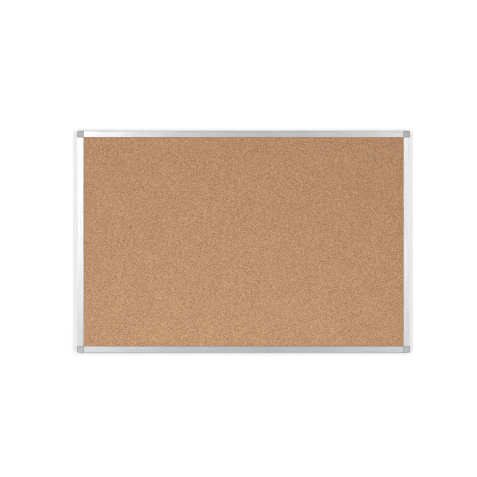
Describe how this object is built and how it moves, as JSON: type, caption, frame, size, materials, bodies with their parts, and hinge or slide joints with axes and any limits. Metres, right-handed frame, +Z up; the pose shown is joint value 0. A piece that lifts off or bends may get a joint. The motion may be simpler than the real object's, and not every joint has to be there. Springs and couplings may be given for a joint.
{
  "type": "cork bulletin board",
  "caption": "Rectangular cork notice board in a hollow aluminium frame, with plastic corner covers that pull off to reach the holes for the wall screws.",
  "frame": {"origin": "centre of the wall plane, midway between the wall screw holes", "axes": "+X along the board's width to the viewer's right, +Y into the wall, +Z up; the cork faces -Y"},
  "size_m": [0.9, 0.0164, 0.6],
  "materials": {
    "rail_aluminium": "satin anodised extrusion",
    "block_plastic": "grey moulded plastic",
    "cover_plastic": "light grey moulded plastic, fine texture",
    "cork": null,
    "fibre_core": null,
    "liner_paper": "unbleached liner paper",
    "zinc_steel": "zinc-plated steel"
  },
  "bodies": {
    "frame": {"rail_top": "rail_aluminium", "rail_right": "rail_aluminium", "rail_bottom": "rail_aluminium", "rail_left": "rail_aluminium", "corner_block_top_left": "block_plastic", "corner_block_top_right": "block_plastic", "corner_block_bottom_right": "block_plastic", "corner_block_bottom_left": "block_plastic", "cork_sheet": "cork", "core_board": "fibre_core", "back_liner": "liner_paper", "rail_screws": "zinc_steel"},
    "cover_top_left": {"corner_cover_top_left": "cover_plastic"},
    "cover_top_right": {"corner_cover_top_right": "cover_plastic"},
    "cover_bottom_right": {"corner_cover_bottom_right": "cover_plastic"},
    "cover_bottom_left": {"corner_cover_bottom_left": "cover_plastic"}
  },
  "joints": [
    {"name": "cover_top_left_pull", "type": "slide", "parent": "frame", "child": "cover_top_left", "axis": [0, -1, 0], "range_m": [0, 0.006]},
    {"name": "cover_top_right_pull", "type": "slide", "parent": "frame", "child": "cover_top_right", "axis": [0, -1, 0], "range_m": [0, 0.006]},
    {"name": "cover_bottom_right_pull", "type": "slide", "parent": "frame", "child": "cover_bottom_right", "axis": [0, -1, 0], "range_m": [0, 0.006]},
    {"name": "cover_bottom_left_pull", "type": "slide", "parent": "frame", "child": "cover_bottom_left", "axis": [0, -1, 0], "range_m": [0, 0.006]}
  ]
}
